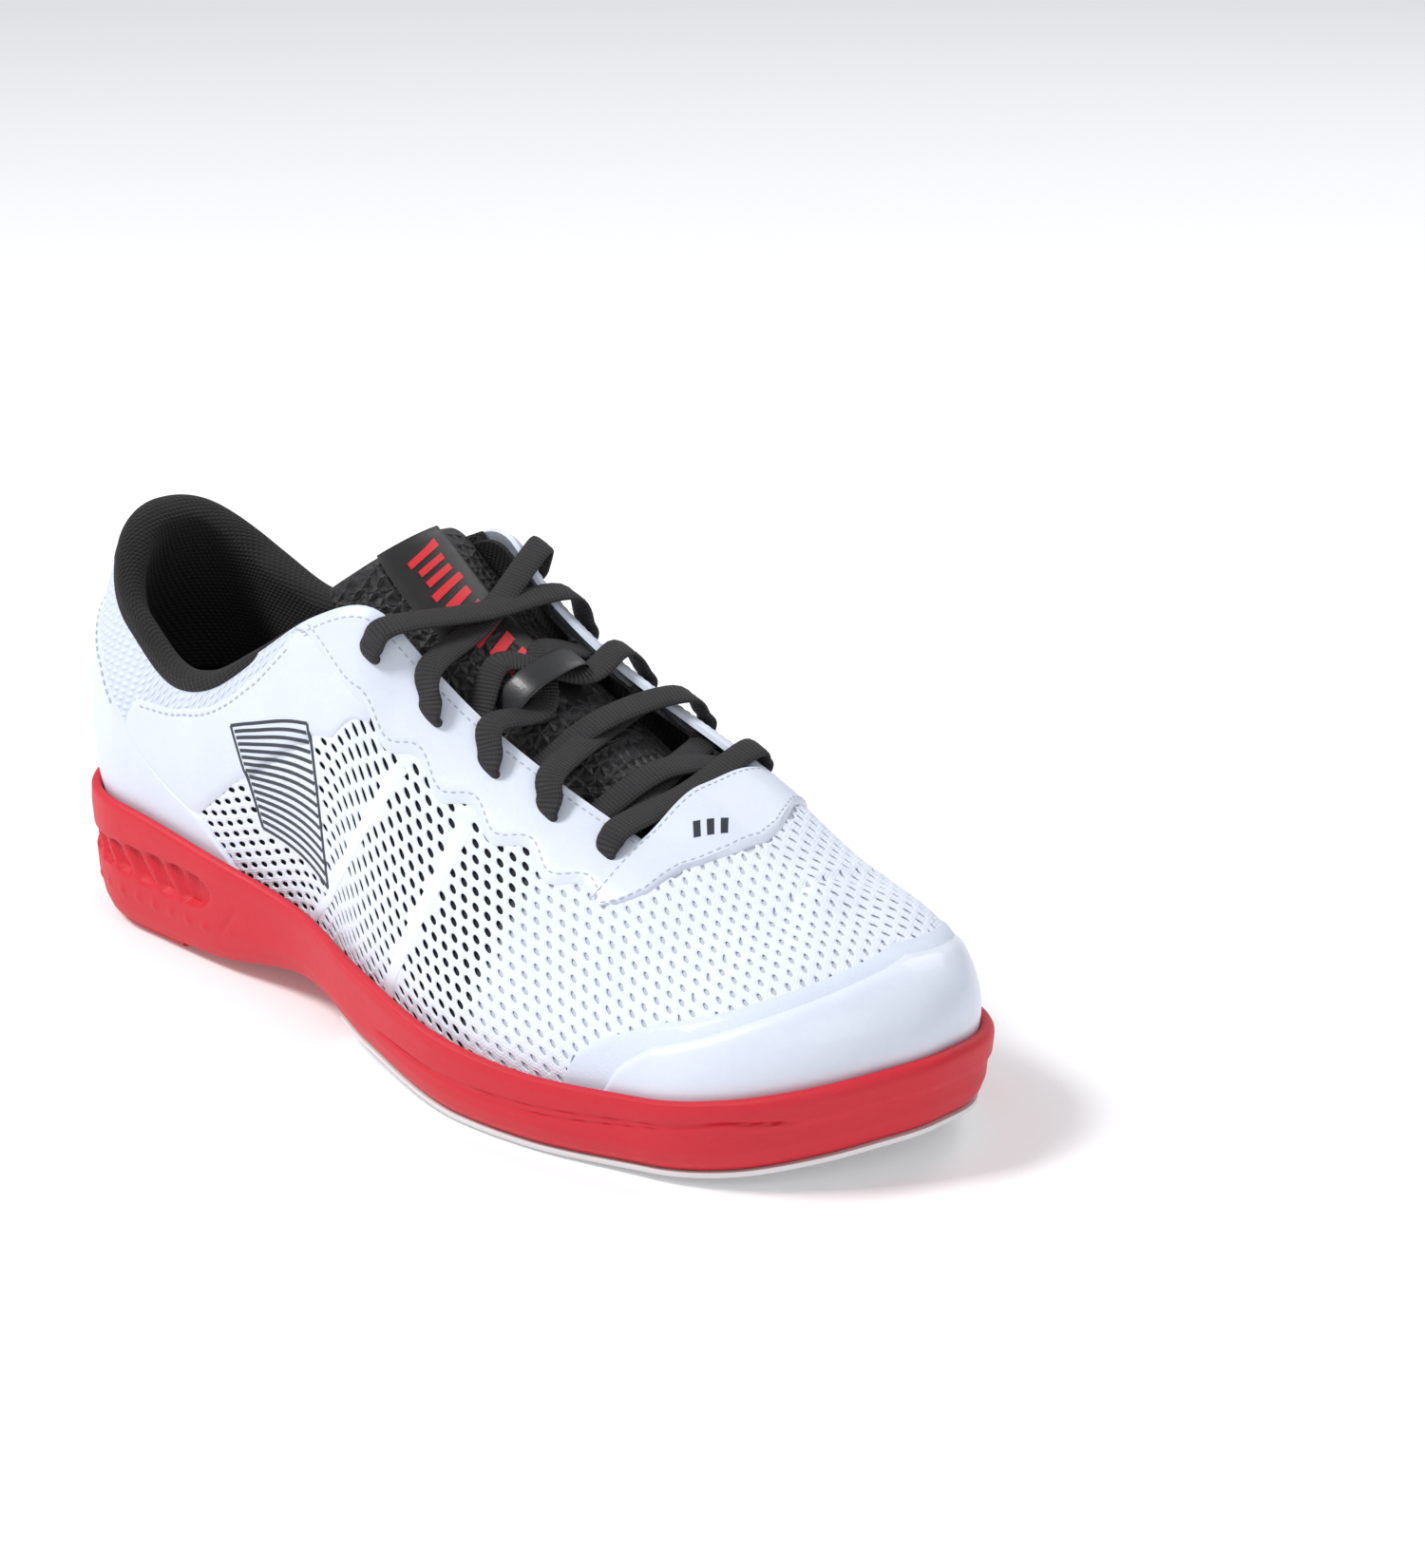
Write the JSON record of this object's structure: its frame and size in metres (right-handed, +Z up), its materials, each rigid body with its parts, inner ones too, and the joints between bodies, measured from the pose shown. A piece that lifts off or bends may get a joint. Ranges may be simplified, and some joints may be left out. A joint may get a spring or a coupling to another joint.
{
  "type": "bowling shoe",
  "caption": "Low laced bowling shoe for the right foot: moulded foam midsole, sliding front sole, mesh upper with bonded films, padded collar, flat lace and a toe that flexes.",
  "frame": {"origin": "on the floor under the middle of the heel, at the centre of the heel arc", "axes": "+X from heel to toe, +Y towards the inner side of the foot, +Z up"},
  "size_m": [0.295, 0.1073, 0.1251],
  "materials": {
    "foam_red": "moulded foam with a fine matte skin",
    "slide_white": "smooth sliding sole sheet",
    "shank_steel": "plain strip",
    "board": "stiff fibre board",
    "mesh_white": "knitted mesh with small slanted openings",
    "knit_black": "fine matte knit",
    "collar_knit": "soft charcoal knit",
    "panel_white": "padded coated textile with a fine grain",
    "film_white": "bonded film with a soft sheen",
    "backing_white": "plain woven backing",
    "padding": "open-cell foam",
    "emblem_print": "printed film",
    "tongue_mesh": "open hexagonal spacer mesh",
    "label_rubber": "smooth moulded patch",
    "lace_weave": "flat ribbed weave",
    "aglet": "smooth film tip"
  },
  "bodies": {
    "shoe": {"midsole_rear": "foam_red", "heel_pad": "foam_red", "slide_sole_rear": "slide_white", "shank": "shank_steel", "insole_board": "board", "footbed": "knit_black", "vamp_mesh": "mesh_white", "vamp_lining": "knit_black", "vamp_backing": "knit_black", "collar_panel": "panel_white", "rear_lining": "knit_black", "collar_foam": "padding", "collar_lining": "collar_knit", "heel_counter": "board", "heel_overlay": "film_white", "eyestay_outer": "film_white", "eyestay_inner": "film_white", "eyestay_backing_outer": "backing_white", "eyestay_backing_inner": "backing_white", "throat_overlay": "film_white", "quarter_film_outer": "film_white", "quarter_panel_inner": "film_white", "quarter_ribs_inner": "film_white", "side_emblem": "emblem_print", "throat_emblem": "emblem_print", "tongue_cover": "tongue_mesh", "tongue_foam": "padding", "tongue_lining": "knit_black", "lace_keeper": "lace_weave", "lace": "lace_weave", "aglets": "aglet"},
    "toe": {"midsole_front": "foam_red", "slide_sole_front": "slide_white", "toe_puff": "board", "toe_cap": "film_white", "toe_cap_film": "film_white"},
    "tongue_top": {"tongue_flap": "tongue_mesh", "tongue_flap_pad": "padding", "tongue_label": "label_rubber"}
  },
  "joints": [
    {"name": "toe_flex", "type": "hinge", "parent": "shoe", "child": "toe", "pos_m": [0.176, 0, 0.0218], "axis": [0, -1, 0], "range_deg": [0, 30], "stiffness_Nm_per_rad": 4, "deforming": ["vamp_mesh", "vamp_lining", "insole_board", "footbed"]},
    {"name": "tongue_bend", "type": "hinge", "parent": "shoe", "child": "tongue_top", "pos_m": [0.089, 0, 0.116], "axis": [0, 1, 0], "range_deg": [0, 25], "stiffness_Nm_per_rad": 0.05}
  ]
}
